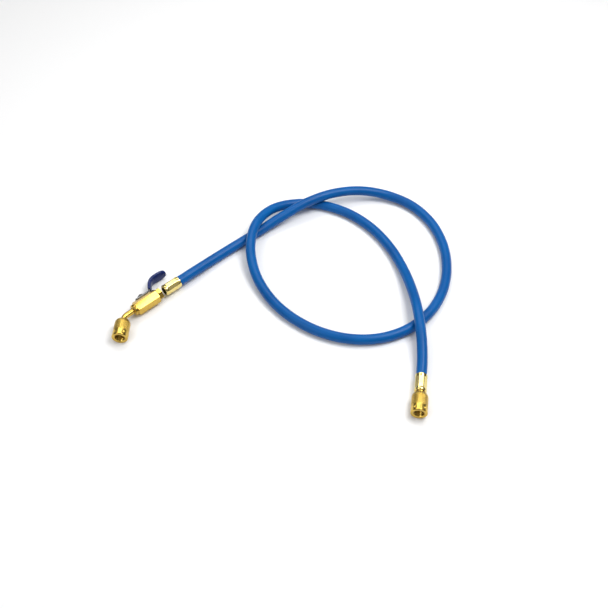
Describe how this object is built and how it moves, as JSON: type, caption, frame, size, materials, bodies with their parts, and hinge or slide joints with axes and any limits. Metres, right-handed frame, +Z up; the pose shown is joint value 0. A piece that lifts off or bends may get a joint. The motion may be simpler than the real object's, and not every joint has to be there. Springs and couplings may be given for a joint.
{
  "type": "refrigerant charging hose",
  "caption": "Blue refrigerant charging hose with a brass swivel nut on each end and a lever ball valve behind the bent end, lying in a loose loop.",
  "frame": {"origin": "on the floor, under the middle of the box that holds both ends' fittings", "axes": "+Z up, +Y away from the viewer of the picture, +X to that viewer's right"},
  "size_m": [0.3659, 0.3153, 0.0231],
  "materials": {
    "hose_rubber": "smooth satin blue",
    "pale_brass": "bright, lightly plated",
    "brass": "turned and polished",
    "lever_vinyl": "dipped navy vinyl",
    "plated_steel": "zinc plated",
    "seat_plastic": "white sealing plastic",
    "gasket_rubber": "black"
  },
  "bodies": {
    "hose_line": {"hose": "hose_rubber", "valve_ferrule": "pale_brass", "hose_adapter": "brass", "valve_body": "brass", "ball_seat_hose_side": "seat_plastic", "ball_seat_nut_side": "seat_plastic", "elbow_tube": "brass", "valve_gasket": "gasket_rubber", "valve_depressor": "brass", "coupler_ferrule": "pale_brass", "coupler_stem": "brass", "coupler_gasket": "gasket_rubber", "coupler_depressor": "brass"},
    "lever_set": {"valve_ball": "plated_steel", "valve_stem": "plated_steel", "lever_plate": "plated_steel", "lever_grip": "lever_vinyl", "lever_nut": "plated_steel"},
    "valve_swivel": {"valve_nut": "brass"},
    "coupler_swivel": {"coupler_nut": "brass"}
  },
  "joints": [
    {"name": "lever_turn", "type": "hinge", "parent": "hose_line", "child": "lever_set", "pos_m": [-0.13114, 0.04795, 0.0085], "axis": [0.6785, -0.7312, 0.0698], "range_deg": [0, 90]},
    {"name": "valve_nut_spin", "type": "hinge", "parent": "hose_line", "child": "valve_swivel", "pos_m": [-0.15274, 0.02295, 0.0085], "axis": [-0.0374, -0.9993, 0], "continuous": true},
    {"name": "coupler_nut_spin", "type": "hinge", "parent": "hose_line", "child": "coupler_swivel", "pos_m": [0.14962, -0.09196, 0.0085], "axis": [-0.1386, -0.9903, 0], "continuous": true}
  ]
}
